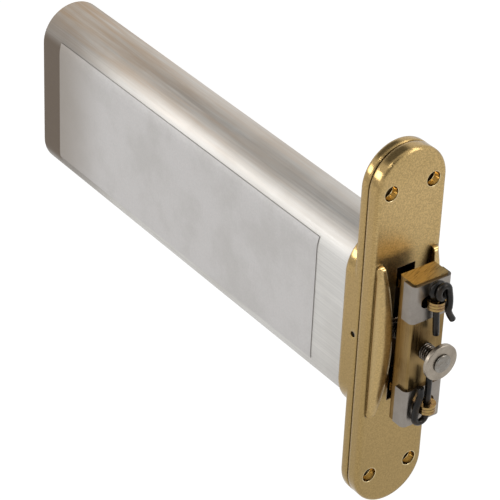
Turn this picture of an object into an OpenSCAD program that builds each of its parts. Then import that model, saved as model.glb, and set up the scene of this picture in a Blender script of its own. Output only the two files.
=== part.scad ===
// Twin-chain concealed door closer.
// X runs across the plates, Y from the plates towards the tube's far end, Z up along the plates.
// The origin is the middle of the screw pattern, on the face plate's back, where it meets the door edge.
// The door is closed: both plates lie face to face and the springs are at their longest.

/* [Plates] */
// Width of the anchor plate and of the face plate
plate_w = 28.5; // [28:0.5:34]
// Length of both plates, end to end
plate_l = 141; // [134:1:160]
// Thickness of the anchor plate
anchor_t = 5.1; // [4.8:0.1:8]
// Radius of the anchor plate's front edge
anchor_edge_r = 1.3; // [0.8:0.1:2]
// Thickness of the face plate
face_t = 4; // [3.6:0.1:5]
// Radius of the face plate's back edge
face_edge_r = 1.4; // [0.3:0.1:1.6]
// Radius of both plates' edges at the seam between them
seam_edge_r = 0.7; // [0.2:0.1:0.9]
// Depth of the boss behind the face plate
boss_d = 4.7; // [3:0.1:10]
// Height of the boss over its round ends
boss_h = 71; // [70:0.5:80]
// Radius of the boss's back edge
boss_edge_r = 1; // [0.3:0.1:1.2]
// Length of the spigot that the tube slides over
spigot_l = 10; // [6:0.5:20]

/* [Screw holes] */
// Distance from a plate's long edges to the middle of the screw holes
hole_side = 5.6; // [5.2:0.1:8]
// Distance from a plate's ends to the middle of the screw holes
hole_end = 14; // [11:0.5:18]
// Diameter of the screw holes
screw_hole_d = 5.5; // [4:0.1:6]
// Diameter of the countersinks
countersink_d = 9.6; // [8:0.1:10]

/* [Slot and cheeks] */
// Length of the slot in the anchor plate
slot_l = 53; // [50:0.5:56]
// Height of the bridge across the slot that carries the adjuster screw
bridge_h = 8; // [6:0.5:12]
// Thickness of that bridge
bridge_t = 2.4; // [2:0.1:3]
// Distance of each cheek's middle from the plate's middle
cheek_x = 10.3; // [9.9:0.1:10.8]
// Thickness of a cheek
cheek_w = 4.8; // [3:0.1:5]
// Height of a cheek above the plate, at mid length
cheek_h = 5.2; // [3:0.1:8]
// Height of a cheek where its round noses start
cheek_tip_h = 2.4; // [1:0.1:2.5]
// Length of a cheek, tip to tip
cheek_l = 60.5; // [40:0.5:64]
// Radius of a cheek's noses, seen from the side
cheek_nose_r = 2.6; // [2.6:0.1:3.4]
// Radius of a cheek's ends, seen from the front
cheek_end_r = 1.8; // [0.5:0.1:2]
// Radius of the bow along a cheek's inner side
cheek_bow_r = 190; // [150:5:400]
// Radius of a cheek's outer top edge
cheek_outer_r = 1.6; // [0.5:0.1:2]

/* [Body tube] */
// Thickness of the tube, across its flat sides
tube_t = 26.7; // [26:0.1:27.4]
// Height of the tube over its round top and bottom
tube_h = 68.2; // [67:0.2:76]
// Length of the tube
tube_l = 185.4; // [183:0.1:230]
// Wall of the tube
tube_wall = 1.5; // [1:0.1:1.8]
// Thickness of the plug in the tube's far end
plug_t = 5; // [4:0.5:8]
// Depth of the plug below the tube's end
plug_inset = 0.8; // [0.4:0.1:3]
// Rim left round the plug's pockets
plug_rim = 3; // [2:0.5:5]
// Depth of the plug's pockets
plug_pocket = 2.6; // [1:0.2:3]
// Thickness of the ribs across the plug
plug_rib = 1.6; // [1:0.2:3]

/* [Label film] */
// Thickness of the film
film_t = 0.2; // [0.1:0.05:0.4]
// Length of the film
film_l = 158.2; // [100:0.1:160]
// Distance from the boss to the near end of the film
film_y = 15.8; // [5:0.1:20]
// Reach of the film above the tube's middle
film_up = 25.7; // [15:0.1:28]
// Reach of the film below the tube's middle
film_down = 23.3; // [15:0.1:28]

/* [Adjuster] */
// Width of the adjuster block
block_w = 14.4; // [12:0.1:14.8]
// Depth of the block
block_d = 7.6; // [6:0.1:9]
// Length of the block
block_l = 57; // [54:0.5:62]
// Radius of the block's long edges
block_edge_r = 0.9; // [0.4:0.1:1.2]
// Gap between the anchor plate and the block
block_gap = 5.5; // [5:0.1:7]
// Diameter of the adjuster screw over its thread
screw_d = 5.95; // [5:0.05:6.4]
// Pitch of the thread
thread_pitch = 1; // [0.7:0.05:1.25]
// Depth of the thread
thread_depth = 0.5; // [0.2:0.05:0.6]
// Diameter of the plain point of the screw
point_d = 4; // [3:0.1:4.4]
// Depth of the socket in the bridge for that point
socket_depth = 1.2; // [0.8:0.1:1.6]
// Gap between the block and the disc on the screw
disc_gap = 6.4; // [5.8:0.1:8]
// Diameter of the disc
disc_d = 13.2; // [11:0.1:13.6]
// Thickness of the disc
disc_t = 1.8; // [1.4:0.1:3]
// Radius of the disc's edges
disc_edge_r = 0.4; // [0.1:0.1:0.6]
// Diameter of the screw's riveted end, in front of the disc
head_d = 6.6; // [6.5:0.1:8]
// Height of that end
head_h = 0.85; // [0.4:0.05:1.2]

/* [Saddle clips] */
// Thickness of the clips' steel
clip_t = 0.9; // [0.6:0.1:1.2]
// Height of a clip
clip_h = 14.4; // [10:0.2:15]
// Depth of a clip's side flanges
clip_flange = 5.2; // [3:0.1:5.5]
// Width of the hole in a clip
clip_hole_w = 9.4; // [8:0.1:11]
// Height of the hole in a clip
clip_hole_h = 4.4; // [4.2:0.1:6]

/* [R-clips] */
// Diameter of the wire
wire_d = 2.3; // [1.4:0.1:2.4]
// Length of the straight leg past the chain's eye
leg_l = 13.3; // [9:0.1:13.4]
// Radius of the half turn, at the middle of the wire
turn_r = 2.45; // [2.4:0.05:2.7]
// Distance of the upper clip's half turn from the chain's eye
upper_stand = 4.2; // [2.6:0.1:6]
// Distance of the lower clip's half turn from the chain's eye
lower_stand = 3; // [2.6:0.1:6]
// Lean of the upper clip
upper_lean = 5; // [0:1:5]
// Lean of the lower clip
lower_lean = 0; // [0:1:5]

/* [Chains] */
// Width of the chain leaves
chain_w = 6.3; // [5:0.1:6.4]
// Waist of the chain leaves
chain_waist = 5; // [4:0.1:5.2]
// Pitch of the chain
chain_pitch = 8; // [7.5:0.1:8.4]
// Thickness of one leaf
leaf_t = 0.9; // [0.8:0.05:1.1]
// Diameter of the rivet pins
pin_d = 2.6; // [2.5:0.1:2.8]
// Height of a rivet head above the leaves
rivet_h = 0.3; // [0.1:0.05:0.4]
// Reach of the chain's front eye past the saddle clip
eye_reach = 2; // [1.6:0.1:3.5]
// Number of chain links, an even number
links = 14; // [12:2:14]

/* [Springs and crosshead] */
// Clearance between a spring and the tube's bore
spring_clear = 1.85; // [1.75:0.05:3]
// Least gap between a spring and the damper
damper_gap = 1.05; // [0.8:0.05:2]
// Diameter of the spring wire
spring_wire = 2.6; // [2:0.1:2.8]
// Number of turns
spring_turns = 22; // [16:1:24]
// Gap between the close turns at a spring's ends
coil_gap = 0.5; // [0.45:0.05:1]
// Thickness of the front washers
washer_t = 1.2; // [0.8:0.1:2]
// Bore of the front washers
washer_bore = 11; // [10:0.5:13]
// Thickness of the rear cups' flanges
cup_t = 1.5; // [1:0.1:2.5]
// Length of the rear cups' collars
cup_collar = 5; // [3:0.5:8]
// Diameter of the pull rods
rod_d = 5; // [4:0.1:5.6]
// Length of the fork at the front of a pull rod
fork_l = 11; // [9:0.5:16]
// Thickness of the crosshead
crosshead_t = 7; // [5:0.5:9]
// Thickness of the rod nuts
nut_t = 4; // [3:0.2:5]
// Width of the pull rods' nuts over their flats
nut_af = 8; // [7:0.5:10]
// Thread left past a nut
rod_tail = 1.5; // [0.5:0.1:2.5]

/* [Damper] */
// How much thinner the damper is than a spring
damper_less = 1; // [0.2:0.1:2]
// Wall of the damper's cylinder
damper_wall = 1.5; // [1.2:0.1:1.8]
// Flange of the front plug
front_flange_t = 2; // [1.5:0.1:4]
// Length of the front plug inside the cylinder
front_insert_l = 7.6; // [6:0.2:9]
// Diameter of the front plug's spigot
front_spigot_d = 7; // [6:0.1:9]
// Diameter of the pin that holds the spigot
lock_pin_d = 2.1; // [1.5:0.1:2.2]
// Distance of that pin in front of the face plate's back
lock_pin_y = 1.7; // [1.2:0.1:2]
// Depth of the pin's ends below the plate's sides
lock_pin_inset = 0.5; // [0.1:0.1:2]
// Length of the gland
gland_l = 7.6; // [6:0.2:9]
// Diameter of the damper rod
damper_rod_d = 6; // [5:0.1:7]
// Width of the damper rod's nut over its flats
damper_nut_af = 10; // [9:0.5:12]
// Length of the piston
piston_l = 7; // [6:0.2:8]
// Section of the seals
seal_d = 1.8; // [1.4:0.1:2]
// Thickness of the non-return disc, its stop ring and the circlip
ring_t = 1; // [0.8:0.1:1.2]
// Clearance between the non-return disc and the cylinder
valve_clear = 1.5; // [1:0.1:1.7]
// Lift of the non-return disc
valve_lift = 0.8; // [0.4:0.1:1]
// Wall left beside the flow holes in the piston
flow_wall = 0.5; // [0.3:0.05:0.8]

/* [Travel] */
// Pull of the anchor plate away from the face plate
pull = 54; // [30:1:56]
// Travel of the adjuster block away from the plate
adjust_out = 4; // [1:0.5:4.5]
// Travel of the adjuster block towards the plate
adjust_in = 3.5; // [1:0.5:4]

/* [Clearances] */
// Gap between the two plates
plate_gap = 0.1; // [0.05:0.05:0.5]
// Radial clearance of a running fit
run_clear = 0.05; // [0.02:0.01:0.1]
// Radial clearance of a pressed or seated fit
seat_clear = 0.03; // [0.01:0.01:0.05]
// Clearance beside the chains in their slots
chain_side_clear = 0.55; // [0.3:0.05:0.6]
// Clearance above and below the chains in their slots
chain_end_clear = 0.5; // [0.3:0.05:0.8]
// Clearance between the chain leaves
leaf_gap = 0.15; // [0.05:0.01:0.2]
// Clearance of the crosshead in the tube
crosshead_clear = 0.4; // [0.2:0.05:0.8]
// Space left at the ends of the damper's and the rods' travel
end_clear = 0.7; // [0.4:0.1:1.2]

/* [Hidden] */
$fn = 64;

// Overlap of cuts past the faces that they open
cut = 1;
brass = "#b29a5e";
dark_brass = "#95783f";
aluminium = "#c4c2be";
steel = "#9c9892";
bright_steel = "#b9b7b3";
black_wire = "#2f2f30";
rubber = "#26262a";
plastic = "#3a3c40";

// Places along Y, front to back
seam_y = -face_t;
anchor_back = seam_y - plate_gap;
anchor_front = anchor_back - anchor_t;
block_back = anchor_front - block_gap;
block_front = block_back - block_d;
clip_front = block_front - seat_clear - clip_t;
eye_y = clip_front - eye_reach;
disc_back = block_front - disc_gap;
disc_front = disc_back - disc_t;
bridge_front = anchor_back - bridge_t;
spigot_back = boss_d + spigot_l;
washer_back = spigot_back + washer_t;
tube_end = boss_d + tube_l;
plug_front = tube_end - plug_inset - plug_t;
rod_end = plug_front - adjust_in - end_clear;
nut_front = rod_end - rod_tail - nut_t;
crosshead_front = nut_front - crosshead_t;
cup_front = crosshead_front - cup_t;
fork_y = eye_y + links * chain_pitch;
cylinder_front = spigot_back + front_flange_t;
cylinder_end = cup_front - pull - adjust_out - end_clear;
gland_back = cylinder_end - 2 * ring_t;
gland_front = gland_back - gland_l;
insert_back = cylinder_front + front_insert_l;
stop_ring_back = gland_front - adjust_in - end_clear;
stop_ring_front = stop_ring_back - ring_t;
piston_back = stop_ring_front - valve_lift - ring_t - 2 * seat_clear;
piston_front = piston_back - piston_l;

// Sizes that follow from the fits
hole_dx = plate_w - 2 * hole_side;
hole_dz = plate_l - 2 * hole_end;
lobe_z = (tube_h - tube_t) / 2;
bore_t = tube_t - 2 * tube_wall;
bore_h = tube_h - 2 * tube_wall;
slot_w = chain_w + 2 * chain_side_clear;
leaf_pitch = leaf_t + leaf_gap;
leaves = 3;
stack_h = leaves * leaf_t + (leaves - 1) * leaf_gap;
pin_l = stack_h + 2 * rivet_h;
chain_slot_h = pin_l + 2 * chain_end_clear;

// A spring fills the bore, or the height that the damper beside it leaves
spring_od = min(bore_t - 2 * spring_clear, lobe_z - damper_gap + damper_less / 2);
spring_r = (spring_od - spring_wire) / 2;
spring_id = spring_od - 2 * spring_wire;
cylinder_od = spring_od - damper_less;
cylinder_id = cylinder_od - 2 * damper_wall;
valve_d = cylinder_id - 2 * valve_clear;

// The flow holes lie between the rod and the bottom of the piston's seal groove
piston_bore_r = damper_rod_d / 2 + seat_clear;
piston_groove_r = cylinder_id / 2 - seal_d - 2 * run_clear;
flow_r = (piston_bore_r + piston_groove_r) / 2;
flow_d = piston_groove_r - piston_bore_r - 2 * flow_wall;
cheek_inner = cheek_x - cheek_w / 2;
cheek_outer = cheek_x + cheek_w / 2;
cheek_run = cheek_l / 2 - cheek_nose_r;
cheek_rise = cheek_h - cheek_tip_h;
cheek_arc_r = (pow(cheek_run, 2) + pow(cheek_rise, 2)) / (2 * cheek_rise);
side_clip_x = block_w / 2 + seat_clear;

// Outer legs of the R-clips: distance from the straight leg, distance past the chain's eye
upper_bow = [[5.05, -1.6], [4.9, 1], [4.55, 3.4], [4.5, 4.7], [5.2, 7], [6.6, 9.9]];
lower_bow = [[4.75, -1.2], [4.5, 1.2], [3.75, 3.4], [3.15, 5.2], [3.05, 6.8], [3.45, 9]];

// A flat shape in X and Z, made solid from y0 to y1
module along_y(y0, y1) {
    translate([0, y1, 0]) rotate([90, 0, 0]) linear_extrude(y1 - y0) children();
}

// A round bar or bore along Y
module bar(d, y0, y1, z = 0) {
    translate([0, y0, z]) rotate([-90, 0, 0]) cylinder(d = d, h = y1 - y0);
}

// A ring along Y
module ring(d_out, d_in, y0, y1, z = 0) {
    difference() {
        bar(d_out, y0, y1, z);
        bar(d_in, y0 - cut, y1 + cut, z);
    }
}

// A round section ring round the Y axis
module seal_ring(r, y) {
    translate([0, y, 0]) rotate([-90, 0, 0]) rotate_extrude() translate([r, 0]) circle(d = seal_d);
}

// A hexagon nut along Y
module nut(af, d, y0, z = 0) {
    difference() {
        translate([0, y0, z]) rotate([-90, 0, 0]) cylinder(d = af / cos(30), h = nut_t, $fn = 6);
        bar(d, y0 - cut, y0 + nut_t + cut, z);
    }
}

// An outline with flat sides and round ends
module stadium(w, h) {
    square([w, h - w], center = true);
    for (side = [-1, 1]) translate([0, side * (h - w) / 2]) circle(d = w);
}

// Section across a plate from y0 to y1, with edge radii at both faces
module plate_section(w, y0, y1, r0, r1) {
    translate([-w / 2, y0 + r0]) square([w, y1 - y0 - r0 - r1]);
    translate([-w / 2 + r0, y0]) square([w - 2 * r0, y1 - y0 - r1]);
    translate([-w / 2 + r1, y0 + r0]) square([w - 2 * r1, y1 - y0 - r0]);
    for (side = [-1, 1]) {
        if (r0 > 0) translate([side * (w / 2 - r0), y0 + r0]) circle(r = r0);
        if (r1 > 0) translate([side * (w / 2 - r1), y1 - r1]) circle(r = r1);
    }
}

// A plate with round ends, standing on end
module round_plate(w, l, y0, y1, r0, r1) {
    linear_extrude(l - w, center = true) plate_section(w, y0, y1, r0, r1);
    for (side = [-1, 1]) {
        translate([0, 0, side * (l - w) / 2]) rotate([-90, 0, 0]) rotate_extrude() intersection() {
            plate_section(w, y0, y1, r0, r1);
            translate([0, y0]) square([w, y1 - y0]);
        }
    }
}

// Four screw holes from y0 to y1, with the countersinks opening at sink_y
module screw_holes(y0, y1, sink_y, sink_side) {
    sink = (countersink_d - screw_hole_d) / 2;
    for (x = [-1, 1], z = [-1, 1]) translate([x * hole_dx / 2, 0, z * hole_dz / 2]) {
        bar(screw_hole_d, y0 - cut, y1 + cut);
        translate([0, sink_y, 0]) rotate([sink_side * 90, 0, 0])
            cylinder(d1 = countersink_d, d2 = screw_hole_d, h = sink);
    }
}

// The slots that both chains run through
module chain_slots(w, h, y0, y1) {
    for (side = [-1, 1]) translate([-w / 2, y0, side * lobe_z - h / 2]) cube([w, y1 - y0, h]);
}

// Points on a smooth curve through the given ones
function curve(p, steps) = concat([for (i = [0:len(p) - 2], k = [0:steps - 1]) let (
    t = k / steps,
    a = p[max(i - 1, 0)],
    b = p[i],
    c = p[i + 1],
    d = p[min(i + 2, len(p) - 1)]
) 0.5 * (2 * b + (c - a) * t + (2 * a - 5 * b + 4 * c - d) * t * t + (3 * b - 3 * c + d - a) * t * t * t)],
    [p[len(p) - 1]]);

function unit(v) = v / norm(v);

// A wire along a path: rings across the path, turned so that one side keeps facing along the given normals
module wire(path, normals, d, sides) {
    n = len(path);
    rings = [for (i = [0:n - 1]) let (
        along = unit(path[min(i + 1, n - 1)] - path[max(i - 1, 0)]),
        across = unit(cross(along, normals[i])),
        up = cross(across, along)
    ) for (k = [0:sides - 1]) path[i] + d / 2 * (across * cos(360 * k / sides) + up * sin(360 * k / sides))];
    walls = [for (i = [0:n - 2], k = [0:sides - 1]) let (
        a = i * sides + k,
        b = i * sides + (k + 1) % sides
    ) each [[a, b, a + sides], [b, b + sides, a + sides]]];
    last = (n - 1) * sides;
    ends = [for (k = [1:sides - 2]) each [[0, k + 1, k], [last, last + k, last + k + 1]]];
    polyhedron(rings, concat(walls, ends));
}

// Body

module body_tube() {
    color(aluminium) along_y(boss_d, tube_end) difference() {
        stadium(tube_t, tube_h);
        stadium(bore_t, bore_h);
    }
}

module end_plug() {
    w = bore_t - 2 * seat_clear;
    h = bore_h - 2 * seat_clear;
    color(plastic) union() {
        difference() {
            along_y(plug_front, plug_front + plug_t) stadium(w, h);
            along_y(plug_front + plug_t - plug_pocket, tube_end) stadium(w - 2 * plug_rim, h - 2 * plug_rim);
        }
        for (z = [-lobe_z, 0, lobe_z])
            translate([-w / 2 + plug_rim / 2, plug_front + plug_t - plug_pocket - cut / 2, z - plug_rib / 2])
                cube([w - plug_rim, plug_pocket + cut / 2, plug_rib]);
    }
}

module label_film() {
    near = boss_d + film_y;
    color("#d0cecb") intersection() {
        along_y(near, near + film_l) difference() {
            stadium(tube_t + 2 * seat_clear + 2 * film_t, tube_h + 2 * seat_clear + 2 * film_t);
            stadium(tube_t + 2 * seat_clear, tube_h + 2 * seat_clear);
        }
        translate([-tube_t, near - cut, -film_down]) cube([tube_t, film_l + 2 * cut, film_up + film_down]);
    }
}

module face_plate() {
    color(brass) difference() {
        union() {
            round_plate(plate_w, plate_l, seam_y, 0, seam_edge_r, face_edge_r);
            round_plate(plate_w, boss_h, seam_y + seam_edge_r, boss_d, 0, boss_edge_r);
            along_y(0, spigot_back) stadium(bore_t - 2 * seat_clear, bore_h - 2 * seat_clear);
        }
        screw_holes(seam_y, 0, seam_y, -1);
        chain_slots(slot_w, chain_slot_h, seam_y - cut, spigot_back + cut);
        bar(front_spigot_d + 2 * seat_clear, seam_y - cut, spigot_back + cut);
        translate([-plate_w / 2 - cut, -lock_pin_y, 0]) rotate([0, 90, 0])
            cylinder(d = lock_pin_d + 2 * seat_clear, h = plate_w + 2 * cut);
    }
}

module lock_pin() {
    color(steel) translate([-plate_w / 2 + lock_pin_inset, -lock_pin_y, 0]) rotate([0, 90, 0])
        cylinder(d = lock_pin_d, h = plate_w - 2 * lock_pin_inset);
}

// Anchor plate and adjuster

// A cheek seen from the side: round noses, and room between them for the crest
module cheek_side() {
    translate([anchor_front - 2 * cheek_h, -cheek_run]) square([2 * cheek_h + anchor_edge_r, 2 * cheek_run]);
    for (end = [-1, 1]) translate([anchor_front, end * cheek_run]) circle(r = cheek_nose_r);
}

// A cheek seen from the front: straight along the plate's side, bowed towards the slot, a little past its noses
module cheek_front(side) {
    intersection() {
        rotate(-90 * side)
            plate_section(cheek_l + cheek_end_r / 2, cheek_inner - cut, cheek_outer, cheek_end_r, cheek_end_r);
        translate([side * (cheek_inner + cheek_bow_r), 0]) circle(r = cheek_bow_r, $fn = 4 * $fn);
    }
}

// A wall with an arched crest, on one side of the slot
module cheek(side) {
    left = side < 0 ? -cheek_outer : cheek_inner - cut;
    right = side < 0 ? cut - cheek_inner : cheek_outer;
    intersection() {
        translate([0, anchor_front - cheek_h + cheek_arc_r, 0]) rotate([0, 90, 0]) rotate_extrude($fn = 4 * $fn)
            translate([cheek_arc_r - 2 * cheek_h, 0])
                plate_section(4 * cheek_h, left, right, side < 0 ? cheek_outer_r : 0, side < 0 ? 0 : cheek_outer_r);
        translate([-plate_w, 0, 0]) rotate([90, 0, 90]) linear_extrude(2 * plate_w) cheek_side();
        along_y(anchor_front - 2 * cheek_h, anchor_front + anchor_t / 2) cheek_front(side);
    }
}

module anchor_plate() {
    color(brass) difference() {
        union() {
            round_plate(plate_w, plate_l, anchor_front, anchor_back, anchor_edge_r, seam_edge_r);
            for (side = [-1, 1]) cheek(side);
        }
        screw_holes(anchor_front, anchor_back, anchor_back, 1);
        for (side = [-1, 1]) translate([-slot_w / 2, anchor_front - cut, side < 0 ? -slot_l / 2 : bridge_h / 2])
            cube([slot_w, anchor_t + 2 * cut, slot_l / 2 - bridge_h / 2]);
        translate([-slot_w / 2, anchor_front - cut, -bridge_h / 2 - cut])
            cube([slot_w, bridge_front - anchor_front + cut, bridge_h + 2 * cut]);
        bar(point_d + 2 * run_clear, bridge_front - cut, bridge_front + socket_depth);
    }
}

module adjuster_screw() {
    r = screw_d / 2;
    tip = bridge_front + socket_depth - 2 * run_clear;
    shank = bridge_front - 4 * run_clear;
    head_front = disc_front - head_h;
    head_back = disc_front - seat_clear;
    start = disc_back + thread_pitch;
    turns = floor((shank - start) / thread_pitch) - 1;
    color(bright_steel) rotate([-90, 0, 0]) rotate_extrude() polygon(concat(
        [[0, head_front], [(head_d - head_h) / 2, head_front], [head_d / 2, head_front + head_h / 2],
            [head_d / 2, head_back], [r, head_back], [r, start]],
        [for (i = [0:turns - 1]) each [
            [r - thread_depth, start + (i + 0.5) * thread_pitch],
            [r, start + (i + 1) * thread_pitch]]],
        [[r, shank], [point_d / 2, shank], [point_d / 2, tip], [0, tip]]
    ));
}

module adjuster_disc() {
    color(bright_steel) difference() {
        rotate([-90, 0, 0]) rotate_extrude() intersection() {
            plate_section(disc_d, disc_front, disc_back, disc_edge_r, disc_edge_r);
            translate([0, disc_front]) square([disc_d, disc_t]);
        }
        bar(screw_d + 2 * seat_clear, disc_front - cut, disc_back + cut);
    }
}

module adjuster_block() {
    color(dark_brass) difference() {
        linear_extrude(block_l, center = true)
            plate_section(block_w, block_front, block_back, block_edge_r, block_edge_r);
        bar(screw_d + 2 * run_clear, block_front - cut, block_back + cut);
        chain_slots(slot_w, chain_slot_h, block_front - cut, block_back + cut);
    }
}

module saddle_clip(side) {
    inner = block_front - seat_clear;
    back = clip_front + clip_flange;
    outer_r = block_edge_r + clip_t;
    color(steel) translate([0, 0, side * lobe_z]) difference() {
        linear_extrude(clip_h, center = true) difference() {
            intersection() {
                plate_section(2 * (side_clip_x + clip_t), clip_front, back + 2 * outer_r, outer_r, outer_r);
                translate([-block_w, clip_front]) square([2 * block_w, clip_flange]);
            }
            plate_section(2 * side_clip_x, inner, back + 2 * outer_r, block_edge_r, block_edge_r);
        }
        along_y(clip_front - cut, inner + cut / 2) rotate(90) stadium(clip_hole_h, clip_hole_w);
    }
}

module upper_saddle_clip() { saddle_clip(1); }
module lower_saddle_clip() { saddle_clip(-1); }

// A wire clip: straight leg through the chain's eye, a half turn, and a bowed leg outside the eye
module r_clip(side, stand, lean, bow) {
    steps = 12;
    turn = [for (k = [0:steps]) let (a = 180 - 180 * k / steps)
        [turn_r + turn_r * cos(a), -stand - turn_r * sin(a)]];
    outer = curve(concat([turn[steps]], bow), 4);
    flat = concat([[0, leg_l], [0, 0]], turn, [for (i = [1:len(outer) - 1]) outer[i]]);
    path = [for (p = flat) [
        side * (p[0] * cos(lean) + p[1] * sin(lean)),
        eye_y,
        side * (lobe_z - p[1] * cos(lean) + p[0] * sin(lean))
    ]];
    color(black_wire) wire(path, [for (p = path) [0, 1, 0]], wire_d, 8);
}

module upper_r_clip() { r_clip(1, upper_stand, upper_lean, upper_bow); }
module lower_r_clip() { r_clip(-1, lower_stand, lower_lean, lower_bow); }

// Chains

module leaf() {
    difference() {
        union() {
            for (y = [0, chain_pitch]) translate([0, y]) circle(d = chain_w);
            translate([-chain_waist / 2, 0]) square([chain_waist, chain_pitch]);
        }
        for (y = [0, chain_pitch]) translate([0, y]) circle(d = pin_d + 2 * run_clear);
    }
}

// Every second link from the given first one, with a leaf in each of the given layers
module leaves(side, first, layers) {
    color(dark_brass) for (link = [first:2:links - 1], layer = layers)
        translate([0, eye_y + link * chain_pitch, side * lobe_z - stack_h / 2 + layer * leaf_pitch])
            linear_extrude(leaf_t) leaf();
}

// The ring that fills the front eye between its two leaves
module eye_ring(side) {
    color(dark_brass) translate([0, eye_y, side * lobe_z]) difference() {
        cylinder(d = chain_w, h = leaf_t, center = true);
        cylinder(d = pin_d + 2 * run_clear, h = 2 * leaf_t, center = true);
    }
}

module chain_pins(side) {
    color(steel) for (eye = [1:links])
        translate([0, eye_y + eye * chain_pitch, side * lobe_z]) cylinder(d = pin_d, h = pin_l, center = true);
}

module upper_chain_outer_leaves() {
    leaves(1, 0, [0, 2]);
    eye_ring(1);
}

module upper_chain_inner_leaves() { leaves(1, 1, [1]); }
module upper_chain_pins() { chain_pins(1); }
module lower_chain_outer_leaves() {
    leaves(-1, 0, [0, 2]);
    eye_ring(-1);
}

module lower_chain_inner_leaves() { leaves(-1, 1, [1]); }
module lower_chain_pins() { chain_pins(-1); }

// Pull rods, crosshead and springs

module pull_rod(side) {
    slot_back = fork_y + chain_w / 2 + chain_side_clear;
    color(bright_steel) translate([0, 0, side * lobe_z]) difference() {
        union() {
            translate([0, fork_y, 0]) cylinder(d = chain_w, h = stack_h, center = true);
            translate([-chain_w / 2, fork_y, -stack_h / 2]) cube([chain_w, fork_l, stack_h]);
            bar(rod_d, slot_back + seal_d, rod_end);
        }
        translate([-chain_w, fork_y - chain_w, -leaf_t / 2 - leaf_gap])
            cube([2 * chain_w, slot_back - fork_y + chain_w, leaf_t + 2 * leaf_gap]);
        translate([0, fork_y, 0]) cylinder(d = pin_d + 2 * run_clear, h = 2 * stack_h, center = true);
    }
}

module upper_pull_rod() { pull_rod(1); }
module lower_pull_rod() { pull_rod(-1); }

module crosshead() {
    color(steel) difference() {
        along_y(crosshead_front, nut_front)
            stadium(bore_t - 2 * crosshead_clear, bore_h - 2 * crosshead_clear);
        for (side = [-1, 1])
            bar(rod_d + 2 * seat_clear, crosshead_front - cut, nut_front + cut, side * lobe_z);
        bar(damper_rod_d + 2 * seat_clear, crosshead_front - cut, nut_front + cut);
    }
}

module spring_cups() {
    collar_od = spring_id - 2 * chain_side_clear;
    color(steel) for (side = [-1, 1]) difference() {
        union() {
            bar(spring_od, cup_front, crosshead_front, side * lobe_z);
            bar(collar_od, cup_front - cup_collar, crosshead_front, side * lobe_z);
        }
        bar(rod_d + 2 * seat_clear, cup_front - cup_collar - cut, crosshead_front + cut, side * lobe_z);
    }
}

module spring_washers() {
    color(steel) for (side = [-1, 1]) ring(spring_od, washer_bore, spigot_back, washer_back, side * lobe_z);
}

module rod_nuts() {
    color(steel) for (side = [-1, 1]) nut(nut_af, rod_d + 2 * seat_clear, nut_front, side * lobe_z);
}

// A spring from the front washer to the rear cup, with one close turn at each end
module spring(side) {
    rings = 8;
    y0 = washer_back + spring_wire / 2 + seat_clear;
    y1 = cup_front - spring_wire / 2 - seat_clear;
    close = spring_wire + coil_gap;
    open = (y1 - y0 - 2 * close) / (spring_turns - 2);
    path = [for (k = [0:spring_turns * rings]) let (
        turn = k / rings,
        y = y0 + close * min(turn, 1) + open * min(max(turn - 1, 0), spring_turns - 2)
            + close * max(turn - spring_turns + 1, 0)
    ) [spring_r * cos(360 * turn), y, side * lobe_z + spring_r * sin(360 * turn)]];
    gap = min([for (k = [0:len(path) - 1 - rings]) norm(path[k + rings] - path[k])]) - spring_wire;
    echo(str("least gap between spring turns ", gap, " mm"));
    normals = [for (k = [0:spring_turns * rings]) [cos(360 * k / rings), 0, sin(360 * k / rings)]];
    color(bright_steel) wire(path, normals, spring_wire, 6);
}

module upper_spring() { spring(1); }
module lower_spring() { spring(-1); }

// Damper

module damper_cylinder() {
    groove = cylinder_id + (cylinder_od - cylinder_id) / 2;
    color(bright_steel) difference() {
        ring(cylinder_od, cylinder_id, cylinder_front, cylinder_end);
        bar(groove, gland_back, gland_back + ring_t + seat_clear);
    }
}

module damper_front_plug() {
    groove_y = cylinder_front + front_insert_l / 2;
    color(steel) difference() {
        union() {
            bar(front_spigot_d, seam_y + 2 * plate_gap, cylinder_front);
            bar(cylinder_od, spigot_back, cylinder_front);
            bar(cylinder_id - 2 * seat_clear, cylinder_front, insert_back);
        }
        ring(cylinder_od, cylinder_id - 2 * seal_d - 4 * seat_clear, groove_y - seal_d / 2 - run_clear,
            groove_y + seal_d / 2 + run_clear);
        translate([-front_spigot_d, -lock_pin_y, 0]) rotate([0, 90, 0])
            cylinder(d = lock_pin_d + 2 * seat_clear, h = 2 * front_spigot_d);
    }
}

module front_plug_seal() {
    color(rubber) seal_ring(cylinder_id / 2 - seal_d / 2 - seat_clear, cylinder_front + front_insert_l / 2);
}

module damper_gland() {
    groove_y = gland_front + gland_l / 2;
    color(dark_brass) difference() {
        ring(cylinder_id - 2 * seat_clear, damper_rod_d + 2 * run_clear, gland_front, gland_back);
        bar(damper_rod_d + 2 * seal_d + 4 * run_clear, groove_y - seal_d / 2 - run_clear,
            groove_y + seal_d / 2 + run_clear);
    }
}

module rod_seal() {
    color(rubber) seal_ring(damper_rod_d / 2 + seal_d / 2 + run_clear, gland_front + gland_l / 2);
}

module gland_circlip() {
    d_out = cylinder_id + (cylinder_od - cylinder_id) / 2 - 2 * seat_clear;
    color(steel) difference() {
        ring(d_out, cylinder_id - 2 * seal_d, gland_back + seat_clear / 2, gland_back + ring_t);
        translate([-seal_d, gland_back - cut, 0]) cube([2 * seal_d, ring_t + 2 * cut, cylinder_od]);
    }
}

module damper_rod() {
    color(bright_steel) bar(damper_rod_d, piston_front, rod_end);
}

module damper_rod_nut() {
    color(steel) nut(damper_nut_af, damper_rod_d + 2 * seat_clear, nut_front);
}

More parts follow.
